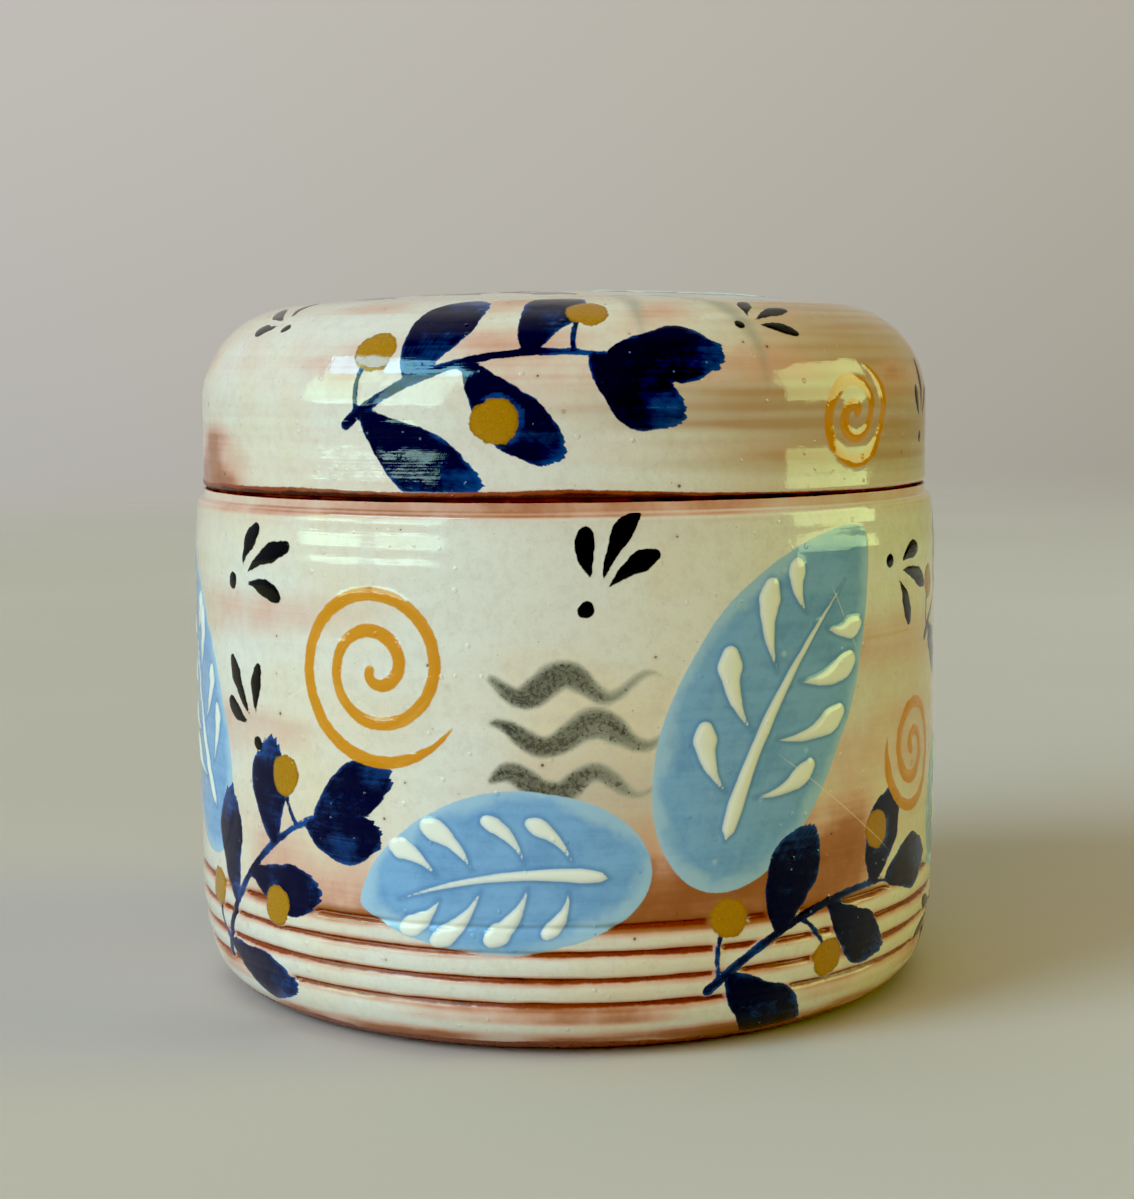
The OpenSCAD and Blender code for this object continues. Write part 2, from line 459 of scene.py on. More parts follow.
def ticks(pen, size, seed):
    """Three black flicks of a small brush that fan out from a point, and a dot."""
    rng = np.random.default_rng(seed)
    for lean, long in ((-34, 12), (2, 15.5), (36, 10.5)):
        a = math.radians(lean + rng.uniform(-5, 5))
        start = (2.6 * math.cos(a), 2.6 * math.sin(a))
        end = (long * math.cos(a), long * math.sin(a))
        half = shaky(swell(14, 0.9, 0.42, 0.66, 3.4 * size), seed + lean, 0.1)
        pen.stroke("black", bend(start, end, 0.7, len(half)) * size, half)
    pen.dab("black", (-2.2 * size, 0.4), 1.3 * size, seed)


# Each design lists its motifs in the order they are painted. A place is how far round, how far up
# and how far turned, in millimetres and degrees, and True where the motif is flipped.
WALL_DESIGN = (
    (broad_leaf, (  # place, length, width, seed
        ((44, 64, 58), 68, 37, 11),
        ((-14, 31, 8, True), 50, 29, 12),
        ((-94, 62, 112), 58, 32, 13),
        ((121, 41, 28), 52, 30, 14),
        ((-170, 52, 64), 64, 35, 15),
        ((201, 60, 116), 56, 31, 16),
    )),
    (scroll, (  # place, radius, turns, seed
        ((-35, 70, 200), 17.5, 2.35, 21),
        ((82, 50, 20, True), 12.5, 2.1, 22),
        ((-128, 32, 90), 15, 2.2, 23),
        ((162, 74, 140, True), 15, 2.3, 24),
        ((231, 34, 60), 14, 2.2, 25),
    )),
    (ripples, (  # place, width, lines, seed
        ((2, 59), 37, 3, 31),
        ((-134, 76), 36, 3, 32),
        ((163, 40), 32, 3, 33),
        ((-214, 79), 34, 3, 34),
    )),
    (sprig, (  # place, size, leaves, seed
        ((-63, 27, 42), 1.1, 5, 41),
        ((50, 19, 16), 1.15, 4, 42),
        ((110, 76, 16), 0.95, 4, 43),
        ((-170, 14, 4), 1.1, 4, 44),
        ((184, 15, 8), 1.05, 5, 45),
    )),
    (ticks, (  # place, size, seed
        ((5, 83, 62), 1.15, 51),
        ((-71, 84, 20), 1.15, 52),
        ((73, 85, -20), 1.1, 53),
        ((-66, 56, 120), 1.05, 54),
        ((102, 16, 200), 1.0, 56),
        ((-150, 93, 160), 1.05, 57),
        ((217, 88, 60), 1.1, 58),
    )),
)
LID_SIDE_DESIGN = (
    (sprig, (((-14, 20, 12), 1.25, 5, 61), ((132, 19, -8), 1.2, 5, 62), ((-170, 19, 10), 1.2, 5, 63))),
    (scroll, (
        ((60, 15, 30), 10.5, 2.1, 64),
        ((-113, 17, 120, True), 11, 2.1, 65),
        ((204, 16, 10), 11, 2.1, 66),
    )),
    (ticks, (
        ((38, 34, 20), 0.95, 67),
        ((-66, 35, 150), 1.0, 68),
        ((92, 12, 80), 0.9, 69),
        ((-210, 28, 30), 1.0, 70),
    )),
)
# the top of the lid, seen from above with its front downwards
CROWN_DESIGN = (
    (broad_leaf, (((-16, 12, 36), 50, 29, 81), ((22, -14, 160), 42, 25, 82))),
    (scroll, (((25, 25), 12.5, 2.2, 83),)),
    (sprig, (((-24, -25, -28), 0.85, 4, 84),)),
    (ticks, (((-43, 20, 100), 0.9, 85), ((4, 41, 60), 0.9, 86))),
)
# each run of glaze down the lid: where it is, where it starts and ends, and how far it strays
LID_RUNS = ((17, 58, 30, -2), (29, 58, 20, 9), (-128, 58, 26, -4), (176, 58, 30, 5))


def paint(canvas, design):
    """Paints each motif of a design at each of its places."""
    for motif, places in design:
        for place, *settings in places:
            motif(Pen(canvas, *place), *settings)


# how far each paint stands proud, and how far in from its edge it reaches that height
RELIEF = {
    "run": (0, 1), "grey": (0, 1), "blue": (0.07, 0.6), "navy": (0.05, 0.7), "gold": (0.09, 0.8),
    "orange": (0.13, 0.9), "white": (0.32, 1.3), "black": (0.11, 0.8),
}


def paint_height(canvas):
    """How far the paint stands proud of the slip."""
    total = np.zeros(canvas.u.shape)
    for name, (height, edge) in RELIEF.items():
        total += height * np.sqrt(smooth(canvas.field[name], -0.2, edge))
    return total


def cover(canvas, names, low, high):
    """0 to 1: how far each vertex lies under any of the named paints."""
    return smooth(np.maximum.reduce([canvas.field[name] for name in names]), low, high)


# ---- the grid of a turned surface


class Turned:
    """The grid of vertices that an outline makes as it turns: rows along it, spokes round it."""

    def __init__(self, points, radius):
        self.points = points
        self.s = distance_along(points)[:, None]
        self.row = np.arange(len(points))[:, None]
        self.r, self.z = points[:, :1], points[:, 1:]
        self.u = (THETA + math.pi) % TURN * radius - math.pi * radius


# ---- the pot's surface


def ring_cuts(z):
    """The turned rings: how deep they are, how far inside a cut each point is, and how near one."""
    zone = bump(z, RING_LOW - RING_PITCH / 2 + 0.3, RING_TOP + RING_PITCH / 2 - 0.3, 0.3)
    depth = BAND_FALL * (1 - np.abs(np.sin(math.pi * (z - RING_LOW) / RING_PITCH))) * zone
    depth = depth * np.ones(SPOKES)
    inside, near = np.full(depth.shape, FAR), np.zeros(depth.shape)
    for i in range(RING_N):
        middle = RING_LOW + i * RING_PITCH + 0.2 * wave(100 + i, 1, 9) + 0.06 * wave(105 + i, 20, 90)
        half = 0.5 + 0.14 * wave(110 + i, 2, 50) + 0.035 * wave(120 + i, 40, 120)
        away = np.abs(z - middle)
        off = np.minimum(away / (half + 0.25), 1)
        depth += RING_DEPTH * (1 + np.cos(math.pi * off)) / 2 * (0.85 + 0.15 * wave(140 + i, 3, 30))
        lip = (away - half - 0.5) / 0.3
        depth -= 0.03 * np.exp(-lip * lip) * (1 + 0.8 * wave(130 + i, 10, 70))
        inside = np.maximum(inside, half - away)
        spread = 1.25 + 0.5 * wave(150 + i, 2, 24)
        near = np.maximum(near, smooth(away, half + spread, half - 0.2))
    return depth, inside, near


def painted_cuts(g, canvas):
    """What ring_cuts gives, once paint has filled the cuts that it crosses."""
    cut, in_cut, near_cut = ring_cuts(g.z)
    thick = 0.95 * cover(canvas, ("navy", "gold", "black"), -0.9, 0.3)
    thin = 0.5 * cover(canvas, ("blue", "white"), -0.8, 2)
    cut = cut * g.outer * (1 - np.maximum(thick, thin))
    hidden = cover(canvas, ("blue", "navy", "white", "orange", "gold", "black"), -0.3, 0.4)
    return cut, np.where(g.outer, in_cut - 3 * hidden, FAR), near_cut


def pot_surface():
    """The pot's grid, how far each vertex moves, its paint, and the fields its finish needs."""
    g = Turned(pot_outline(), POT_R)
    foot_row, lip_row = row_near(g.points, FOOT_R, 0), int(np.argmax(g.points[:, 1]))
    end = len(g.points) - 1
    g.outer, g.inner = (g.row >= foot_row) & (g.row < lip_row), g.row >= lip_row
    g.seat = g.outer & (g.row > row_near(g.points, POT_R - RIM_R, SEAT_Z) - 3)

    canvas = Canvas(THETA * POT_R, g.z, TURN * POT_R)
    paint(canvas, WALL_DESIGN)
    for name in Canvas.COLOURS:
        canvas.field[name] = np.where(g.outer & (g.z < SEAT_Z - 1), canvas.field[name], FAR)
    cut, in_cut, near_cut = painted_cuts(g, canvas)
    haze = 0.5 * blob(g.u, g.z, (10, 44), (38, 19)) + 0.3 * smooth(cloud(10, g.z, 4, 26), 0.3, 2.2)
    fields = {
        "clay": np.where(g.row < foot_row, ALL_CLAY, pot_clay(g, in_cut)),
        "thin": pot_thinness(g, near_cut),
        "ochre": 0.5 * smooth(cloud(9, g.z, 7, 30), 1.4, 2.4) * g.outer,
        "tan": haze * g.outer,
    }
    blocks = ((0, foot_row, 0.0, 0.04), (foot_row, lip_row, *OUTSIDE_UV), (lip_row, end, 0.04, 0.2))
    return g, pot_move(g, cut, paint_height(canvas)), canvas, fields, blocks


def pot_move(g, cut, paint_high):
    """How far each vertex of the pot moves out from the plain outline."""
    r, z = g.r, g.z
    wall = g.outer * bump(z, RING_TOP + 3, SEAT_Z - RIM_R - 3, 3)
    move = -SKIN + hand_wobble(z) * np.where(g.outer, 1, 0.5) * smooth(z, 0, 10)
    move = move - MARK_OUT * throwing_mark(z) * wall - cut
    lean = LEAN_IN * np.clip((z - LEAN_FROM_Z) / (SEAT_Z - LEAN_FROM_Z), 0, 1) ** 1.2
    move -= lean * g.outer * (r > POT_R - RIM_R) * (1 + 0.12 * wave(174, 1, 9))
    move += paint_high * g.outer
    skin_marks = 0.02 * cloud(1, z, 50, 11) + 0.006 * cloud(36, z, 150, 3)
    move += (skin_marks + turned_lines(20, z)) * g.outer * smooth(z, 2, 8)
    floor = g.inner & (z < FLOOR_Z + 0.01)
    inner_mark = throwing_mark(np.where(floor, r, z))
    fade = bump(z, FLOOR_Z + FLOOR_CORNER_R, SEAT_Z - THROAT_H, 6) + 0.8 * floor * smooth(r, 2, 9)
    move -= MARK_IN * inner_mark * fade * g.inner
    flat = g.seat * smooth(z, SEAT_Z - 1.2, SEAT_Z - 0.05) * (z < SEAT_Z + COLLAR_ROOT_R)
    move = move + (-SEAT_SKIN - move) * flat
    return np.where(z < RESTS_WITHIN, 0, move)


def pot_clay(g, in_cut):
    """How far inside bare clay each vertex is: in the cuts, at the foot, and where the lid rests."""
    foot_line = 2.7 + 0.8 * wave(160, 2, 24) + 0.25 * wave(161, 30, 80)
    clay = np.maximum(in_cut, np.where(g.outer, np.minimum(foot_line - g.z, 0.32), FAR))
    seat_edge = POT_R - RIM_R + 0.9 - g.r + 0.4 * wave(162, 2, 50)
    clay = np.where(g.seat, np.maximum(clay, seat_edge), clay)
    below_lip = LIP_Z - 2.6 - g.z + 0.3 * wave(163, 2, 30)
    return np.where(g.seat & (g.z > SEAT_Z + 0.1), below_lip, clay)


def pot_thinness(g, near_cut):
    """How thin the slip is, 0 to about 1.4: the red clay blushes through it."""
    u, z = g.u, g.z
    rim = smooth(z + 0.5 * wave(170, 1, 12), SEAT_Z - 5, SEAT_Z - 1.4)
    rim = rim * (1 + 0.45 * cloud(33, z, 3, 1.1)) * (0.46 - 0.2 * bump(u, 45, 120, 20))
    height = 34 + 5 * wave(171, 1, 7) + 6 * bump(u, 26, 62, 10)
    above_rings = smooth(z, height + 15, height - 8) * smooth(z, 22, 25.5)
    strong = 1.05 * bump(u, 16, 56, 16) + 0.5 * bump(u, -22, 8, 12) + 0.5 * bump(u, -62, -32, 10)
    behind = 0.6 * bump(u, 150, 200, 24) + 0.55 * bump(u, -190, -120, 26)
    blush = above_rings * (strong + behind + 0.05) * (1 + 0.16 * cloud(8, z, 26, 14))
    drips = sum(
        bump(u, at - 0.8, at + 0.8, 1.8) * smooth(z, 50 + 4 * i, 40) * smooth(z, 24, 28)
        for i, at in enumerate((38.5, -8, 176, -150))
    )
    bands = 0.3 * smooth(cloud(2, z, 3, 16), 0.1, 1.7) * bump(z, 34, 92, 6)
    cuts = 0.56 * near_cut * (1 + 0.35 * wave(172, 3, 30))
    foot = (0.85 + 0.35 * cloud(13, z, 24, 3)) * smooth(z + 0.7 * wave(160, 2, 24), 6.2, 2.8)
    under_cut = 0.6 * bump(z, 7.4, 9, 1.4) * smooth(wave(173, 2, 12), -0.4, 0.9)
    worn = np.clip(rim + blush + 0.3 * drips + bands + cuts + foot + under_cut, 0, 1.4)
    inside = 0.22 + 0.16 * smooth(cloud(3, z, 4, 8), 0, 1.5)
    return worn * g.outer + inside * g.inner


# ---- the lid's surface


def lid_surface():
    """The lid's grid, how far each vertex moves, its paint, and the fields its finish needs."""
    g = Turned(lid_outline(), LID_R)
    edge_row = row_near(g.points, LID_R - LID_EDGE_R, SEAT_Z)
    g.outer = g.row >= edge_row
    g.v = g.s - g.s[edge_row]
    canvas = lid_paint(g)
    inner_edge = SEAT_Z + 1.8 + 0.4 * wave(182, 2, 20) - g.z
    fields = {
        "clay": np.where(g.outer, lid_clay_line() - g.v, inner_edge),
        "thin": np.where(g.outer, lid_thinness(g.u, g.v), 0.3),
        "ochre": g.outer * 0.75 * blob(g.u, g.v, (96, 23), (8, 20)),
        # on the lid the tan is partly painted warm light on its right side
        "tan": g.outer * lid_wash_and_warm_light(g.u, g.v),
    }
    blocks = ((0, edge_row, 0.0, 0.2), (edge_row, len(g.points) - 1, *OUTSIDE_UV))
    return g, lid_move(g, paint_height(canvas)), canvas, fields, blocks


def lid_paint(g):
    """The lid's canvas: its side, with the paint of its top laid over it."""
    r, v = g.r, g.v
    side = Canvas(THETA * LID_R, v, TURN * LID_R)
    paint(side, LID_SIDE_DESIGN)
    for u, high, low, stray in LID_RUNS:
        path = bend((u, high), (u + stray, low), stray * 0.3)
        side.stroke("run", path, swell(len(path), 0.1, 0.8, 0.2, 8))
    top = Canvas(r * np.sin(THETA), -r * np.cos(THETA))
    paint(top, CROWN_DESIGN)
    for name in Canvas.COLOURS:
        high = np.where(g.outer & (r < LID_R - SHOULDER_R + 3), top.field[name], FAR)
        low = np.where(g.outer & (v > 0.4), side.field[name], FAR)
        side.field[name] = np.maximum(low, high)
        shown = (high > low) & (high > -1)
        side.brush[shown] = top.brush[shown]
    return side


def lid_move(g, paint_high):
    """How far each vertex of the lid moves out from the plain outline."""
    r, z, v = g.r, g.z, g.v
    move = -SKIN + hand_wobble(z) * np.where(g.outer, 1, 0.6) * smooth(z, SEAT_Z, SEAT_Z + 3)
    marks = (0.06 + 0.09 * smooth(r, 66, 44)) * throwing_mark(v) * smooth(r, 0, 6)
    move = move - marks * g.outer
    waist = smooth(z + 0.5 * wave(186, 2, 14), SEAT_Z + 1.2, SEAT_Z + 9.4)
    waist = waist * smooth(z + 0.4 * wave(188, 1, 9), SEAT_Z + 17.5, SEAT_Z + 10)
    bearing = (np.degrees(THETA) + 180) % 360 - 180
    most = 0.25 + 0.8 * bump(bearing, 34, 52, 30) + 0.25 * bump(bearing, -50, -20, 30)
    move -= WAIST * waist * g.outer * (most + 0.1 * wave(187, 1, 8))
    move += paint_high * g.outer
    skin_marks = 0.023 * cloud(4, v, 46, 11) + 0.006 * cloud(37, v, 150, 3)
    fade = smooth(v, 1, 4) * smooth(r, 4, 16) * (0.3 + 0.7 * smooth(r, 10, 50))
    move += (skin_marks + turned_lines(24, v)) * g.outer * fade
    inner_mark = throwing_mark(r) * smooth(z, SEAT_Z + 9, SEAT_Z + 14) * smooth(r, 3, 10)
    move -= LID_MARK_IN * inner_mark * ~g.outer
    return np.where(z < SEAT_Z + RESTS_WITHIN, 0, move)


def lid_clay_line():
    """How high the bare clay comes up the lid's edge."""
    line_up = 2.7 + 0.4 * wave(180, 1, 18) + 0.08 * wave(181, 20, 70)
    return line_up - 1.5 * smooth(np.cos(THETA - math.radians(64)), 0.55, 0.95)


def lid_wash_and_warm_light(u, v):
    """The strength of the tan on the lid's right, partly a wash and partly painted warm light on that
    side, which starts further left on its ribs.
    """
    rise = v + 1.1 * wave(183, 1, 6)
    ribbed = 24 * bump(rise, 14, 21, 2.5) + 9 * bump(rise, 7, 9, 2) - 3 * smooth(rise, 24, 30)
    reach = u - 34 + ribbed + 7 * cloud(11, v, 9, 3.2)
    back = smooth(u, 190, 150) + 0.7 * bump(u, -205, -160, 20)
    height = smooth(v, 56, 40) * (0.42 + 0.58 * smooth(rise, 4, 8))
    return smooth(reach, -24, 24) * back * height * (0.86 + 0.14 * cloud(12, v, 3, 2.6))


def lid_thinness(u, v):
    """How thin the slip is: faint turned bands, mottles, and a rusty patch low on the left."""
    rise = v + 1.2 * wave(183, 1, 6)
    wash = 0.02 + 0.05 * bump(rise, 8.5, 19, 2.5) + 0.05 * bump(rise, 23, 31, 2.5)
    streaks = 0.03 * cloud(5, v, 2, 4) + 0.025 * cloud(6, v, 3, 1.8)
    mottle = 0.33 * smooth(cloud(34, v, 15, 11), -0.5, 1.7) * smooth(v, 90, 64) + 0.05
    low = 0.14 * smooth(v + 0.8 * wave(185, 3, 20), 4.5, 2.5)
    rust = 0.78 * blob(u, v, (-88, 3), (26, 13)) + 0.22 * blob(u, v, (-86, 9), (13, 9))
    uneven = 1 + 0.28 * cloud(7, v, 30, 9)
    banded = (wash + streaks) * smooth(v, 62, 48)
    return np.clip(banded + mottle * smooth(v, 15, 24) + low + rust * uneven, 0, 1.3)


# ---- meshes


# The bake's layout, as shares of its height: where each turned surface's outside goes, in two tall
# half turns one above the other, and the gap round each strip.
OUTSIDE_UV = (0.2, 1.0)
HALF_TURN_UV = (OUTSIDE_UV[1] - OUTSIDE_UV[0]) / 2
GAP_UV = 0.003


def new_object(name, data):
    """An object that holds the data, linked into the scene."""
    ob = bpy.data.objects.new(name, data)
    bpy.context.scene.collection.objects.link(ob)
    return ob


def lathe(name, points, move):
    """A closed mesh of the outline turned round the axis, each vertex moved along its normal."""
    moved = points[:, None] + outward(points)[:, None] * move[..., None]
    radius, height = moved[..., 0], moved[..., 1]
    co = np.stack([radius * np.sin(THETA), -radius * np.cos(THETA), height], 2)
    rows = len(points) - 2
    poles = [[0, 0, co[0, :, 2].mean()], [0, 0, co[-1, :, 2].mean()]]
    vertices = np.concatenate([co[1:-1].reshape(-1, 3), poles]) * MM
    row = np.arange(rows - 1)[:, None] * SPOKES
    a, b = np.arange(SPOKES), (np.arange(SPOKES) + 1) % SPOKES
    quads = np.stack([row + a, row + b, row + SPOKES + b, row + SPOKES + a], 2).reshape(-1, 4)
    last = (rows - 1) * SPOKES
    first_fan = np.stack([np.full(SPOKES, rows * SPOKES), b, a], 1)
    last_fan = np.stack([np.full(SPOKES, rows * SPOKES + 1), last + a, last + b], 1)
    sizes = np.r_[np.full(len(quads), 4), np.full(2 * SPOKES, 3)]
    corners = np.concatenate([quads.ravel(), first_fan.ravel(), last_fan.ravel()])
    mesh = bpy.data.meshes.new(name)
    mesh.vertices.add(len(vertices))
    mesh.vertices.foreach_set("co", vertices.astype(np.float32).ravel())
    mesh.loops.add(len(corners))
    mesh.loops.foreach_set("vertex_index", corners.astype(np.int32))
    mesh.polygons.add(len(sizes))
    mesh.polygons.foreach_set("loop_start", np.r_[0, np.cumsum(sizes)[:-1]].astype(np.int32))
    mesh.update(calc_edges=True)
    mesh.polygons.foreach_set("use_smooth", np.ones(len(sizes), bool))
    return new_object(name, mesh)


def unwrap(ob, s, blocks):
    """Lays the turned surface out flat: the outside in two tall half turns, the rest in strips."""
    along = s[:, 0]
    low, high, strips = np.zeros((3, len(s) - 1, 1))
    for first, end, bottom, top in blocks:
        count = 2 if (bottom, top) == OUTSIDE_UV else 1
        share = (along - along[first]) / (along[end] - along[first])
        depth = (top - bottom) / count - 2 * GAP_UV
        low[first:end, 0] = bottom + GAP_UV + depth * share[first:end]
        high[first:end, 0] = bottom + GAP_UV + depth * share[first + 1 : end + 1]
        strips[first:end] = count
    spoke = np.arange(SPOKES)
    lift = (spoke * strips >= SPOKES) * HALF_TURN_UV
    left = GAP_UV + spoke * strips % SPOKES / SPOKES * (1 - 2 * GAP_UV)
    right = left + strips / SPOKES * (1 - 2 * GAP_UV)
    bottom, top = low + lift, high + lift
    corners = np.stack([left, bottom, right, bottom, right, top, left, top], 2)
    middle = (left + right) / 2
    first_fan = np.stack([middle, bottom, right, top, left, top], 2)[0]
    last_fan = np.stack([middle, top, left, bottom, right, bottom], 2)[-1]
    uv = np.concatenate([corners[1:-1].ravel(), first_fan.ravel(), last_fan.ravel()])
    layer = ob.data.uv_layers.new(name="OFBake")
    layer.data.foreach_set("uv", uv.astype(np.float32))


def store(ob, name, values, kind="FLOAT"):
    """Keeps a field of the grid on the mesh; each pole takes the mean of its row."""
    inner = values[1:-1].reshape(-1, *values.shape[2:])
    poles = np.stack([values[0].mean(0), values[-1].mean(0)])
    data = np.concatenate([inner, poles]).astype(np.float32)
    attribute = ob.data.attributes.new(name, kind, "POINT")
    attribute.data.foreach_set("vector" if kind == "FLOAT_VECTOR" else "value", data.ravel())


def dress(name, node, body, surface, material):
    """Makes the detailed piece that stands for a CAD node."""
    g, move, canvas, fields, blocks = surface
    ob = lathe(name, g.points, move)
    unwrap(ob, g.s, blocks)
    for colour in Canvas.COLOURS:
        store(ob, "paint_" + colour, canvas.field[colour])
    store(ob, "brush", canvas.brush, "FLOAT_VECTOR")
    for field, values in fields.items():
        store(ob, field, values)
    turned = np.empty(move.shape + (3,))
    turned[..., 0], turned[..., 1] = np.sin(THETA) * POT_R, -np.cos(THETA) * POT_R
    turned[..., 2] = g.s
    store(ob, "turned", turned * MM, "FLOAT_VECTOR")
    ob.data.materials.append(material)
    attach(ob, body)
    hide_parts(node)
    return ob


# ---- materials


class Nodes:
    """Short calls for the nodes of one material or world."""

    def __init__(self, owner):
        owner.use_nodes = True
        self.owner, self.tree = owner, owner.node_tree

    def put(self, socket, value):
        """Links a socket's value in, or sets it."""
        if isinstance(value, bpy.types.NodeSocket):
            self.tree.links.new(value, socket)
        elif value is not None:
            socket.default_value = value

    def shade(self, **values):
        """Gives the surface shader its inputs, by their names with _ for each space."""
        inputs = self.tree.nodes["Principled BSDF"].inputs
        for name, value in values.items():
            self.put(inputs[name.replace("_", " ")], value)

    def node(self, kind, *inputs, **settings):
        """A new node with its settings, and with values for its first inputs."""
        made = self.tree.nodes.new("ShaderNode" + kind)
        for key, value in settings.items():
            setattr(made, key, value)
        for socket, value in zip(made.inputs, inputs):
            self.put(socket, value)
        return made

    def attribute(self, name, output="Fac"):
        """A field that is kept on the mesh."""
        return self.node("Attribute", attribute_name=name).outputs[output]

    def math(self, operation, *values):
        """One sum on numbers, by its operation's name."""
        return self.node("Math", *values, operation=operation).outputs[0]

    def add(self, *values):
        """All the values added up."""
        total = values[0]
        for value in values[1:]:
            total = self.math("ADD", total, value)
        return total

    def minus(self, a, b):
        return self.math("SUBTRACT", a, b)

    def times(self, a, b):
        return self.math("MULTIPLY", a, b)

    def about(self, value, size):
        """A noise of 0 to 1 made to swing by size about 0."""
        return self.times(self.minus(value, 0.5), size)

    def step(self, value, low, high, out_low=0.0, out_high=1.0):
        """An S-curved step of value from low to high."""
        span = (value, low, high, out_low, out_high)
        return self.node("MapRange", *span, interpolation_type="SMOOTHSTEP").outputs[0]

    def vector(self, operation, a, b=None):
        """One sum on vectors, which gives a number where its operation does."""
        made = self.node("VectorMath", a, b, operation=operation)
        return made.outputs["Value" if operation in ("DOT_PRODUCT", "LENGTH") else "Vector"]

    def noise(self, vector, scale, detail=2.0, roughness=0.5):
        """Cloudy noise; a scale of three numbers stretches it."""
        if isinstance(scale, tuple):
            vector, scale = self.vector("MULTIPLY", vector, scale), 1
        made = self.node("TexNoise")
        settings = {"Vector": vector, "Scale": scale, "Detail": detail, "Roughness": roughness}
        for name, value in settings.items():
            self.put(made.inputs[name], value)
        return made.outputs[0]

    def cells(self, vector, scale):
        """Scattered cells: the distance to each one's point, and a random number of its own."""
        made = self.node("TexVoronoi")
        self.put(made.inputs["Vector"], vector)
        self.put(made.inputs["Scale"], scale)
        chance = self.node("SeparateColor", made.outputs["Color"])
        return made.outputs["Distance"], chance.outputs[0]

    def dots(self, vector, scale, size, chosen, strength=1.0):
        """Scattered soft dots: size is outer and inner radius, chosen the chances that show."""
        away, chance = self.cells(vector, scale)
        return self.times(self.step(away, *size), self.step(chance, *chosen, 0, strength))

    def mix(self, share, a, b, blend_type="MIX"):
        """A colour share of the way from a to b, or with ADD, a and a share of b."""
        made = self.node("Mix", share, data_type="RGBA", blend_type=blend_type)
        for socket, colour in zip(made.inputs[6:8], (a, b)):
            self.put(socket, (*colour, 1) if isinstance(colour, tuple) else colour)
        return made.outputs[2]

    def bump(self, height, strength, distance, normal=None):
        """The normal that a fine relief gives, on top of another normal."""
        made = self.node("Bump", strength, distance)
        self.put(made.inputs["Height"], height)
        self.put(made.inputs["Normal"], normal)
        return made.outputs[0]


def linear(hex_colour):
    """A colour written as sRGB hex, in the shader's own linear numbers."""
    values = [int(hex_colour[i : i + 2], 16) / 255 for i in (1, 3, 5)]
    return tuple(v / 12.92 if v < 0.04045 else ((v + 0.055) / 1.055) ** 2.4 for v in values)


CREAM_COOL = linear("#dadcce")
CREAM_WARM = linear("#dbd1b3")
CREAM_GREY = linear("#bfb9a6")
TAN_WASH_AND_WARM_LIGHT = linear("#b49776")
PINK_BLUSH = linear("#cfa58e")
BROWN_BLUSH = linear("#a9704a")
RED_BLUSH = linear("#955a30")
CLAY_LIGHT = linear("#8c4120")
CLAY_DARK = linear("#3f130a")
OCHRE = linear("#bf9038")
RUN_GREEN = linear("#7f8a7e")
BLUE = linear("#7babd2")
BLUE_DEEP = linear("#6293c0")
BLUE_POOLED_AND_SHADE = linear("#4b7aab")
BLUE_PALE = linear("#a2c7d8")
NAVY = linear("#02042b")
NAVY_WATERY = linear("#1b4788")
NAVY_WORN = linear("#6f8fb8")
GOLD = linear("#a97c1a")
GOLD_DARK = linear("#86600f")
ORANGE = linear("#c9880f")
ORANGE_THIN = linear("#dda43f")
SLIP_WHITE = linear("#e2eadb")
BLACK = linear("#040405")
GREY_DARK = linear("#2b2b22")
GREY_MID = linear("#5d5f50")
GREY_THIN = linear("#a3a693")
SPECK = linear("#4a3226")
DUST = linear("#6d685a")
SCRATCH = linear("#efe3c4")
FLOOR_DARK, FLOOR_LIGHT = (0.55, 0.525, 0.49), (0.60, 0.57, 0.535)
GLAZE_IOR = 1.51

# each scratch: where it starts and ends round and up the wall, millimetres
SCRATCHES = (
    ((38, 55), (72, 31)),
    ((52, 84), (60, 70)),
    ((-58, 62), (-50, 66)),
    ((150, 60), (176, 44)),
)
SCRATCH_HALF, SCRATCH_SOFT = 0.00005, 0.00016  # its half-width and soft edge, metres


def slip_colour(n, place, turned, streaks):
    """Cream slip over red clay: cool and warm clouds, wheel-drawn lines, and blushes where thin."""
    cream = n.mix(n.step(n.noise(place, 26, 3, 0.55), 0.42, 0.72), CREAM_COOL, CREAM_WARM)
    grains = n.step(n.noise(place, 2400, 2, 0.6), 0.5, 0.8, 0, 0.3)
    mottles = n.step(n.noise(place, 460, 4, 0.72), 0.42, 0.68, 0, 0.26)
    cream = n.mix(n.add(grains, mottles), cream, CREAM_GREY)
    drawn = n.noise(turned, (9, 9, 420), 4, 0.62)
    fine = n.noise(turned, (14, 14, 1500), 3, 0.6)
    patchy = n.noise(place, 95, 4, 0.62)
    runs = n.noise(turned, (230, 230, 24), 3, 0.6)
    lines = n.add(n.about(drawn, 0.9 * streaks), n.about(fine, 0.45 * streaks))
    # tan: washes of beige, and on the lid's right partly painted warm light
    tan_and_warm_light = n.times(n.attribute("tan"), n.add(n.times(lines, 0.6), n.about(patchy, 0.4), 1.0))
    cream = n.mix(tan_and_warm_light, cream, TAN_WASH_AND_WARM_LIGHT)
    uneven = n.add(lines, n.about(patchy, 1.3), n.about(runs, 0.3 * (1 - streaks)), 1.0)
    worn = n.times(n.add(n.attribute("thin"), 0.08), uneven)
    blushed = n.mix(n.step(worn, 0.06, 0.62), cream, PINK_BLUSH)
    blushed = n.mix(n.step(worn, 0.45, 0.95), blushed, BROWN_BLUSH)
    blushed = n.mix(n.step(worn, 0.85, 1.5), blushed, RED_BLUSH)
    return n.mix(n.attribute("ochre"), blushed, OCHRE)


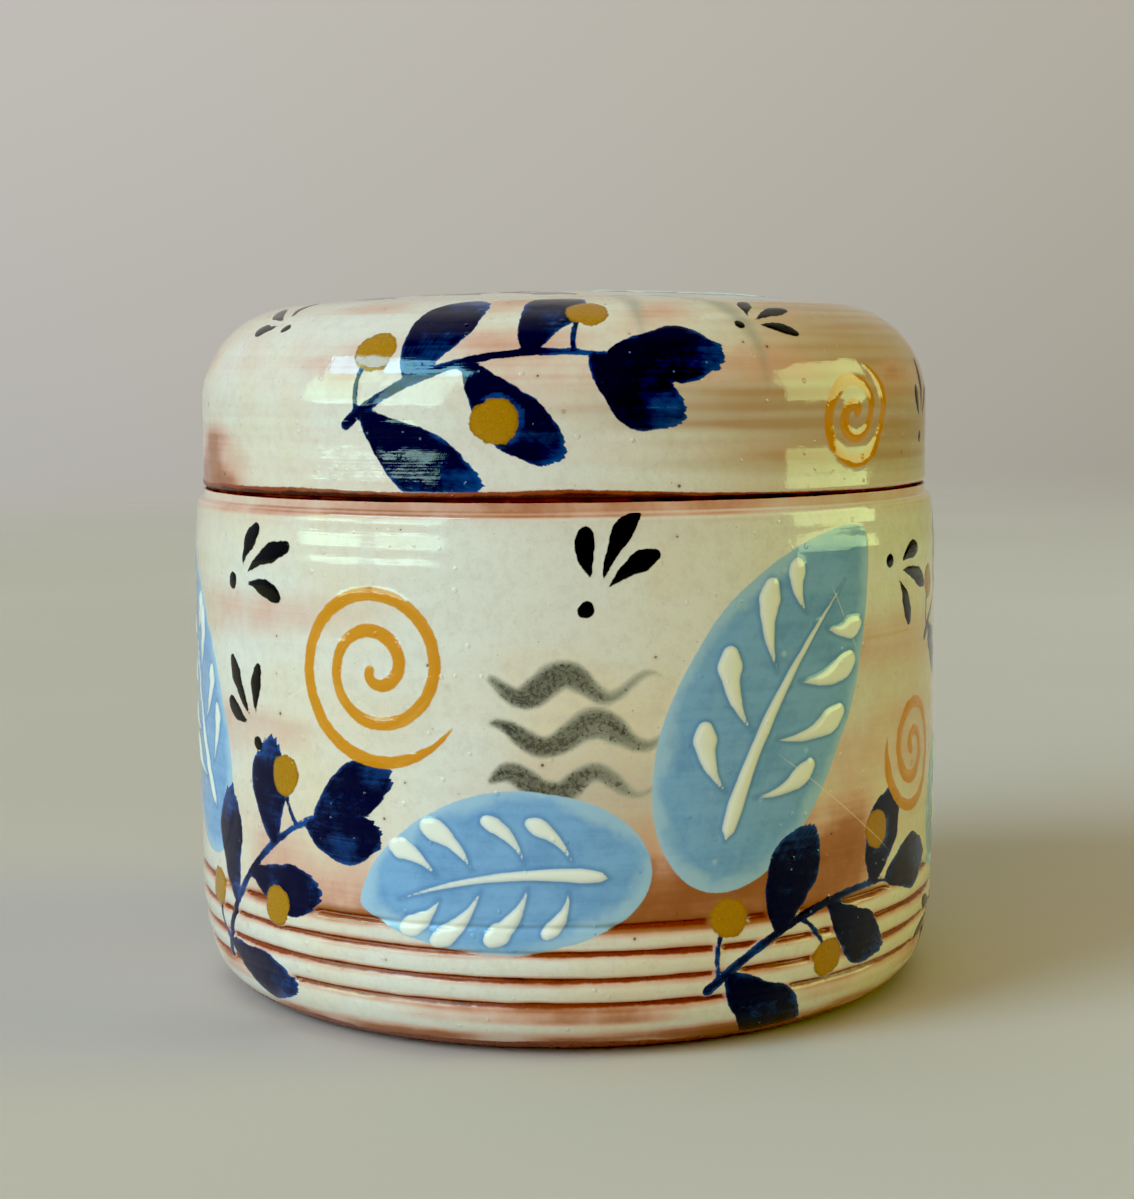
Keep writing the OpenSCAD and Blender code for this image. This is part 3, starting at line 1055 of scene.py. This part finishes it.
def blemishes(n, place, colour):
    """Iron specks, and the rings that burst bubbles leave in the glaze."""
    distance, chance = n.cells(place, 250)
    size = n.step(chance, 0.6, 1.0, -0.02, 0.085)
    inside = n.minus(size, distance)
    speck = n.step(inside, -0.015, 0.03)
    stain = n.step(inside, -0.16, 0.0, 0, 0.16)
    colour = n.mix(n.times(stain, n.step(size, 0.0, 0.04)), colour, BROWN_BLUSH)
    distance, chance = n.cells(place, 105)
    radius = n.step(chance, 0.45, 1.0, -0.06, 0.075)
    burst = n.step(radius, 0.02, 0.04)
    ring = n.times(n.step(n.math("ABSOLUTE", n.minus(distance, radius)), 0.028, 0.006), burst)
    pit = n.times(n.step(distance, 0.03, 0.012), burst)
    colour = n.mix(n.dots(place, 430, (0.09, 0.04), (0.55, 0.95), 0.5), colour, DUST)
    colour = n.mix(n.times(speck, 0.8), colour, SPECK)
    colour = n.mix(n.times(ring, 0.45), colour, BROWN_BLUSH)
    return n.mix(n.times(pit, 0.7), colour, SPECK), n.math("MAXIMUM", speck, pit), ring


def scratched(n, place, colour):
    """Fine pale scratches, each the line where a plane cuts the wall."""
    for start, end in SCRATCHES:
        a, b = (
            Vector((math.sin(u / POT_R) * POT_R, -math.cos(u / POT_R) * POT_R, z)) * MM
            for u, z in (start, end)
        )
        middle = (a + b) / 2
        run = (b - a).normalized()
        out = Vector((middle.x, middle.y, 0)).normalized()
        from_middle = n.vector("SUBTRACT", place, middle)
        off = n.math("ABSOLUTE", n.vector("DOT_PRODUCT", from_middle, out.cross(run)))
        reach = n.math("ABSOLUTE", n.vector("DOT_PRODUCT", from_middle, run))
        facing = n.step(n.vector("DOT_PRODUCT", from_middle, out), -0.02, -0.01)
        length = (b - a).length / 2
        line = n.step(off, SCRATCH_SOFT, SCRATCH_HALF)
        mark = n.times(line, n.step(reach, length, length * 0.6))
        colour = n.mix(n.times(n.times(mark, facing), 0.42), colour, SCRATCH)
    return colour


class Paints:
    """The paints, each laid over a colour as its brush left it."""

    def __init__(self, n, place, turned, edge):
        self.n, self.place, self.turned, self.edge = n, place, turned, edge
        brush = n.attribute("brush", "Vector")
        self.bristles = n.noise(brush, (0.09, 2.0, 0), 3, 0.62)
        self.pools = n.noise(brush, (0.11, 0.5, 0), 2, 0.5)
        self.hairs = n.noise(brush, (0.12, 0.8, 0), 2, 0.5)
        self.grain = n.noise(place, 2300, 2, 0.6)
        self.coarse = n.noise(place, 1250, 3, 0.72)
        self.share = n.node("SeparateXYZ", brush).outputs[2]

    def mask(self, name, wander, soft):
        """0 to 1 across a paint's uneven edge."""
        n = self.n
        return n.step(n.add(n.attribute("paint_" + name), n.times(self.edge, wander)), -soft, soft)

    def run(self, colour):
        """A thin grey-green run of glaze."""
        n = self.n
        streaky = n.step(self.pools, 0.2, 0.7, 0.36, 0.6)
        return n.mix(n.times(n.step(n.attribute("paint_run"), -1.2, 2.4), streaky), colour, RUN_GREEN)

    def grey(self, colour):
        """A wash whose pigment has settled in grains, darkest along its middle."""
        n = self.n
        inside = n.attribute("paint_grey")
        pooled = n.step(self.share, 0.75, 0.1, -0.1, 0.45)
        body = n.add(n.step(inside, 0.0, 1.7, 0.12, 0.85), n.about(self.pools, 1.1), pooled)
        wash = n.mix(n.add(body, n.about(self.grain, 0.6)), GREY_THIN, GREY_MID)
        wash = n.mix(n.step(n.add(self.coarse, n.times(body, 0.17)), 0.64, 0.76), wash, GREY_DARK)
        strength = n.add(n.step(inside, -0.5, 0.9, 0.2, 0.9), n.about(self.bristles, 0.4))
        return n.mix(n.times(self.mask("grey", 1.0, 0.4), strength), colour, wash)

    def blue(self, colour):
        """An opaque blue that thins to a paler rim and has pale pinholes."""
        n = self.n
        mottle = n.noise(self.place, 130, 3, 0.6)
        drawn = n.noise(self.turned, (30, 30, 500), 3, 0.6)
        brushed = n.add(n.about(drawn, 1.3), n.about(self.pools, 0.6), n.about(self.coarse, 0.7))
        deep = n.add(n.step(mottle, 0.35, 0.7, 0, 0.6), brushed)
        body = n.mix(deep, BLUE, BLUE_DEEP)
        # a darker blue round the raised white strokes: painted shade at the foot of the relief, and glaze
        # pooled there
        body = n.mix(n.step(n.attribute("paint_white"), -1.1, 0.1, 0, 0.55), body, BLUE_POOLED_AND_SHADE)
        rim = n.add(n.attribute("paint_blue"), n.about(mottle, -9.0))
        body = n.mix(n.step(rim, 3.4, 0.2, 0, 0.8), body, BLUE_PALE)
        body = n.mix(n.dots(self.place, 230, (0.2, 0.05), (0.6, 0.9), 0.7), body, BLUE_PALE)
        body = n.mix(n.dots(self.place, 390, (0.1, 0.05), (0.7, 0.9), 0.6), body, BLUE_POOLED_AND_SHADE)
        return n.mix(self.mask("blue", 0.4, 0.16), colour, body)

    def navy(self, colour):
        """Dark cobalt, watery where the brush was lifted, with fine worn scratches."""
        n = self.n
        clouds = n.noise(self.place, 110, 4, 0.6)
        drawn = n.noise(self.turned, (30, 30, 900), 3, 0.62)
        lifted = n.step(self.share, 0.5, 1.0, 0, 0.5)
        thin_edge = n.step(n.attribute("paint_navy"), 0.0, 1.0, 0.4, 0.0)
        watery = n.add(n.about(clouds, 2.6), n.about(drawn, 0.9), n.about(self.bristles, 0.5))
        body = n.mix(n.step(n.add(watery, lifted, thin_edge), 0.05, 1.0), NAVY, NAVY_WATERY)
        worn = n.times(n.step(drawn, 0.62, 0.74), n.step(clouds, 0.55, 0.7))
        body = n.mix(n.times(worn, 0.4), body, NAVY_WORN)
        body = n.mix(n.dots(self.place, 520, (0.16, 0.06), (0.86, 0.9), 0.6), body, NAVY_WORN)
        ragged = n.times(n.about(self.hairs, 3.2), n.step(self.share, 0.62, 1.0))
        inside = n.add(n.attribute("paint_navy"), n.times(self.edge, 0.7), ragged)
        return n.mix(n.step(inside, -0.13, 0.13), colour, body)

    def gold(self, colour):
        """An ochre lustre, darker in its grain and towards its edge."""
        n = self.n
        thin_edge = n.step(n.attribute("paint_gold"), 0.7, 0.0, 0, 0.5)
        body = n.mix(n.add(n.step(self.grain, 0.4, 0.8, 0, 0.5), thin_edge), GOLD, GOLD_DARK)
        body = n.mix(n.step(self.grain, 0.4, 0.2, 0, 0.35), body, ORANGE_THIN)
        return n.mix(self.mask("gold", 1.4, 0.16), colour, body)

    def orange(self, colour):
        """A line of strong yellow-orange, thinner where the brush ran dry."""
        n = self.n
        thinner = n.add(n.step(self.bristles, 0.5, 0.8, 0, 0.4), n.step(self.pools, 0.5, 0.75, 0, 0.4))
        body = n.mix(thinner, ORANGE, ORANGE_THIN)
        return n.mix(n.times(self.mask("orange", 0.5, 0.15), 0.97), colour, body)

    def white(self, colour):
        """Thick trailed slip, which lets a little of the blue through where it is thin."""
        n = self.n
        thick = n.step(n.add(n.attribute("paint_white"), n.about(self.pools, 0.5)), -0.2, 0.75, 0.62, 1.0)
        return n.mix(n.times(self.mask("white", 0.14, 0.13), thick), colour, SLIP_WHITE)

    def black(self, colour):
        """Solid black flicks."""
        return self.n.mix(self.mask("black", 0.6, 0.13), colour, BLACK)


def painted(n, colour, place, turned, edge):
    """Lays the paints over the slip, in the order that a painter would."""
    paints = Paints(n, place, turned, edge)
    washes = (paints.run, paints.grey, paints.blue, paints.navy)
    for lay in washes + (paints.gold, paints.orange, paints.white, paints.black):
        colour = lay(colour)
    return colour


def bare_clay(n, place, edge):
    """Where the clay is bare, its colour with painted shade inwards from its edge, its grit, and glaze
    spilt on it in drops painted cream as glints.
    """
    in_clay = n.attribute("clay")
    grit = n.noise(place, 1500, 3, 0.7)
    # painted shade: the clay darkens the further in from the glaze's edge it lies, as on the lid's
    # downward-facing edge and in the cuts
    painted_shade_inwards = n.step(in_clay, 0.0, 1.3, -0.2, 0.32)
    tone = n.add(n.noise(place, 150, 3, 0.6), painted_shade_inwards, n.step(in_clay, 1.4, 2.8, 0.0, -0.36))
    clay = n.mix(n.step(tone, 0.4, 0.74), CLAY_LIGHT, CLAY_DARK)
    clay = n.mix(n.step(grit, 0.45, 0.8, 0, 0.25), clay, CLAY_DARK)
    bare = n.step(n.add(in_clay, n.times(edge, 0.42)), -0.16, 0.16)
    # drops of glaze near the clay's edge: raised in the bump, and showing the glazed cream as painted
    # glints
    beads_and_glints = n.times(n.dots(place, 420, (0.24, 0.12), (0.86, 0.88)), n.step(in_clay, 1.2, 0.5))
    bare = n.times(bare, n.minus(1.0, n.times(beads_and_glints, 0.85)))
    return bare, clay, grit, beads_and_glints


def glaze_relief(n, place, turned, bare, grit, marks):
    """The glaze's fine peel and turned lines, the clay's grit, and the raised or sunken marks."""
    peel = n.noise(place, 420, 3, 0.55)
    drawn = n.noise(turned, (14, 14, 900), 3, 0.6)
    normal = n.bump(n.add(n.times(peel, 0.9), n.times(drawn, 0.7)), 0.3, 0.00014)
    normal = n.bump(n.times(grit, bare), 0.5, 0.00012, normal)
    return n.bump(marks, 0.5, 0.0001, normal)


def slipware(name, streaks):
    """Red clay under brushed cream slip, painted, and glazed except where the clay is bare."""
    n = Nodes(bpy.data.materials.new(name))
    place = n.node("TexCoord").outputs["Object"]
    turned = n.attribute("turned", "Vector")
    edge = n.minus(n.noise(place, 620, 3, 0.62), 0.5)
    slip, pits, rings = blemishes(n, place, slip_colour(n, place, turned, streaks))
    colour = scratched(n, place, painted(n, slip, place, turned, edge))
    bare, clay, grit, beads_and_glints = bare_clay(n, place, edge)
    gloss = n.step(n.noise(place, 320, 2, 0.5), 0.3, 0.7, 0.05, 0.1)
    dull = n.step(n.attribute("clay"), 1.6, 2.6, 0.2, 0.7)
    seeds = n.dots(place, 330, (0.13, 0.02), (0.66, 0.72))
    marks = n.add(n.times(rings, 0.5), n.times(beads_and_glints, 2.0), n.times(pits, -1.0), n.times(seeds, 0.9))
    n.shade(
        Base_Color=n.mix(bare, colour, clay),
        Roughness=n.add(gloss, n.times(bare, dull)),
        IOR=GLAZE_IOR,
        Normal=glaze_relief(n, place, turned, bare, grit, marks),
    )
    return n.owner


def floor_material():
    """Pale, matt studio floor that fades out into the backdrop."""
    n = Nodes(bpy.data.materials.new("studio_floor"))
    place = n.node("TexCoord").outputs["Object"]
    away = n.vector("LENGTH", place)
    n.shade(
        Base_Color=n.mix(n.step(n.noise(place, 1.6, 3, 0.5), 0.3, 0.7), FLOOR_DARK, FLOOR_LIGHT),
        Roughness=1.0,
        Specular_IOR_Level=0.0,
        Alpha=n.step(away, FLOOR_FADE_END, FLOOR_FADE_START),
    )
    return n.owner


# ---- studio, metres

PHOTO_W, PHOTO_H = 1134, 1199
FOCAL_PX = 2281.5
CENTRE_X_PX = 565.33
SENSOR_MM = 36.0
CAMERA_AT = (0.0, -0.46534, 0.12238)
CAMERA_PITCH = 0.10118
CAMERA_ROLL = -0.00797
FLOOR_FADE_START, FLOOR_FADE_END = 0.7, 2.4
LAMP_AIM_Z = 0.08


def make_camera():
    """The photograph's view: a short telephoto held a little above the lid's shoulder."""
    data = bpy.data.cameras.new("camera")
    data.sensor_width = SENSOR_MM
    data.lens = FOCAL_PX * SENSOR_MM / PHOTO_H
    data.shift_x = (PHOTO_W / 2 - CENTRE_X_PX) / PHOTO_H
    data.clip_start = 0.01
    camera = new_object("camera", data)
    camera.location = CAMERA_AT
    down = Euler((math.pi / 2 - CAMERA_PITCH, 0, 0)).to_matrix()
    roll = Euler((0, 0, CAMERA_ROLL)).to_matrix()
    camera.rotation_euler = (down @ roll).to_euler()
    bpy.context.scene.camera = camera


def lamp_towards(name, data, azimuth, elevation, distance, colour, mirrored):
    """Aims a lamp at the jar: it either lights the jar, or is mirrored in its glaze."""
    data.color = colour
    lamp = new_object(name, data)
    away = towards(azimuth, elevation)
    lamp.location = Vector((0, 0, LAMP_AIM_Z)) + away * distance
    lamp.rotation_euler = (-away).to_track_quat("-Z", "Y").to_euler()
    lamp.visible_camera = False
    lamp.visible_glossy = mirrored
    lamp.visible_diffuse = not mirrored


def soft_light(name, azimuth, elevation, spread, strength, colour):
    """Soft light from one side, as even over the floor as over the jar."""
    data = bpy.data.lights.new(name, "SUN")
    data.angle, data.energy = math.radians(spread), strength
    lamp_towards(name, data, azimuth, elevation, 2, colour, False)


def window(name, azimuth, elevation, distance, width, height, glow, colour):
    """A bright rectangle that the glaze mirrors."""
    data = bpy.data.lights.new(name, "AREA")
    data.shape = "RECTANGLE"
    data.size, data.size_y = width, height
    data.energy = glow * math.pi * width * height
    lamp_towards(name, data, azimuth, elevation, distance, colour, True)


def towards(azimuth, elevation):
    """The unit vector to a bearing; azimuth runs from the front towards +X."""
    a, e = math.radians(azimuth), math.radians(elevation)
    return Vector((math.sin(a) * math.cos(e), -math.cos(a) * math.cos(e), math.sin(e)))


def make_world():
    """A soft dome of light, which is brighter about each lobe's bearing."""
    n = Nodes(bpy.data.worlds.new("studio"))
    direction = n.node("TexCoord").outputs["Generated"]
    light = DOME_BASE
    for bearing, low, colour in DOME_LOBES:
        facing = n.vector("DOT_PRODUCT", direction, towards(*bearing))
        light = n.mix(n.step(facing, low, 1), light, colour, "ADD")
    background = n.tree.nodes["Background"]
    n.put(background.inputs["Color"], light)
    n.put(background.inputs["Strength"], 1)
    bpy.context.scene.world = n.owner


DOME_BASE = (0.12, 0.11, 0.065)
DOME_LOBES = (
    # bearing, cosine at which the lobe starts, colour
    ((-90, 0), -0.9, (0.23, 0.245, 0.31)),
    ((180, 40), 0.3, (0.31, 0.29, 0.25)),
)
# name, azimuth, elevation, spread, strength, colour
LAMPS = (
    ("left", -59, 19, 34, 1.62, (0.64, 0.91, 1.0)),
    ("left_high", -58, 38, 26, 1.0, (0.58, 0.82, 1.0)),
    ("right", 88, 17.5, 32, 1.04, (0.96, 1.0, 0.12)),
    ("room", -12, 30, 46, 0.8, (1.0, 0.64, 0.37)),
)
# name, azimuth, elevation, distance, width, height, glow, colour
WINDOWS = (
    ("sky_left", -58, 38, 1.2, 0.98, 0.18, 10.5, (0.3, 0.76, 1.0)),
    ("pane_left_a", -72, 17.5, 1.2, 0.46, 0.61, 4.0, (0.48, 1.0, 0.55)),
    ("pane_left_b", -46, 17.5, 1.2, 0.46, 0.61, 4.0, (0.56, 1.0, 0.78)),
    ("sill_left", -59, 4.6, 1.15, 0.88, 0.05, 3.8, (0.62, 0.92, 1.0)),
    ("pane_right", 88, 15.2, 1.2, 0.78, 0.61, 4.3, (0.70, 1.0, 0.42)),
)
BLACK_LEVEL = 0.019


def set_tone():
    """Plain display colours, with the black point of a photograph."""
    view = bpy.context.scene.view_settings
    view.view_transform = "Standard"
    view.use_curve_mapping = True
    view.curve_mapping.black_level = (BLACK_LEVEL, BLACK_LEVEL, BLACK_LEVEL)
    view.curve_mapping.update()


def make_studio():
    """The floor, the dome of light, the lamps, the windows and the tone."""
    bpy.ops.mesh.primitive_circle_add(vertices=96, radius=FLOOR_FADE_END, fill_type="NGON")
    floor = bpy.context.object
    floor.name = "floor"
    floor.data.materials.append(floor_material())
    make_world()
    for settings in LAMPS:
        soft_light(*settings)
    for settings in WINDOWS:
        window(*settings)
    set_tone()


# ---- the scene

make_camera()
make_studio()
dress("pot", "jar_body", "pot", pot_surface(), slipware("slipware_pot", 0.6))
dress("cap_lid", "lid", "lid", lid_surface(), slipware("slipware_lid", 1.0))
